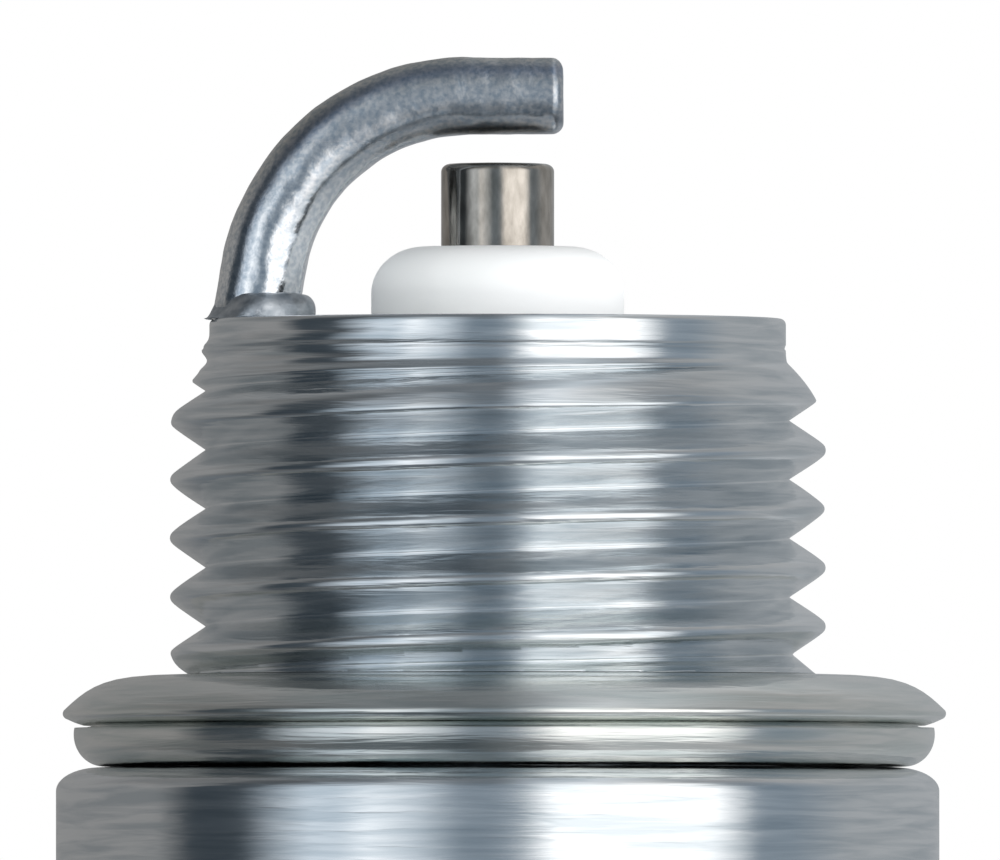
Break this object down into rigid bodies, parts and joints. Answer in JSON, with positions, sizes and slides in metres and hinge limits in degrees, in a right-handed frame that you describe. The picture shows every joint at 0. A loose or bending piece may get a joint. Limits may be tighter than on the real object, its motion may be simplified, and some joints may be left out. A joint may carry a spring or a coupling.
{
  "type": "spark plug",
  "caption": "Compact 14 mm spark plug with a short threaded body, folded captive gasket, hexagon, white ribbed insulator, J-shaped ground electrode and screw-off terminal nut.",
  "frame": {"origin": "on the plug's axis, in the plane of the flange face that the gasket rests on", "axes": "+Z along the axis towards the firing end, which stands up; the ground electrode is welded on the -X side and its tip points to +X; two of the hexagon's flats face +Y and -Y"},
  "size_m": [0.0216, 0.019, 0.0595],
  "materials": {
    "plated_steel": "bright zinc-nickel plating with fine turning marks, cool grey",
    "gasket_steel": "duller plated sheet steel, slightly warm grey",
    "nickel_alloy": "satin mottled nickel alloy bar",
    "centre_nickel": "brownish turned nickel alloy",
    "copper": "bare drawn metal",
    "alumina": "white, matt at the nose and glazed on the stem",
    "glass_seal": "opaque dark conductive glass",
    "carbon_glass": "matt black",
    "talc": "pressed pale powder",
    "steel": "plain steel"
  },
  "bodies": {
    "plug_body": {"metal_shell": "plated_steel", "insulator": "alumina", "center_electrode": "centre_nickel", "center_electrode_core": "copper", "lower_glass_seal": "glass_seal", "resistor": "carbon_glass", "upper_glass_seal": "glass_seal", "terminal_stud": "steel", "insulator_seat_washer": "steel", "lower_packing_ring": "steel", "talc_ring": "talc", "upper_packing_ring": "steel", "ground_electrode": "nickel_alloy", "ground_electrode_weld": "nickel_alloy"},
    "gasket": {"gasket": "gasket_steel"},
    "terminal_nut": {"terminal_nut": "plated_steel"}
  },
  "joints": [
    {"name": "gasket_spin", "type": "hinge", "parent": "plug_body", "child": "gasket", "pos_m": [0.00014, 0, 0.001], "axis": [0, 0, 1], "continuous": true},
    {"name": "terminal_nut_off", "type": "slide", "parent": "plug_body", "child": "terminal_nut", "axis": [0, 0, -1], "range_m": [0, 0.0095]}
  ]
}
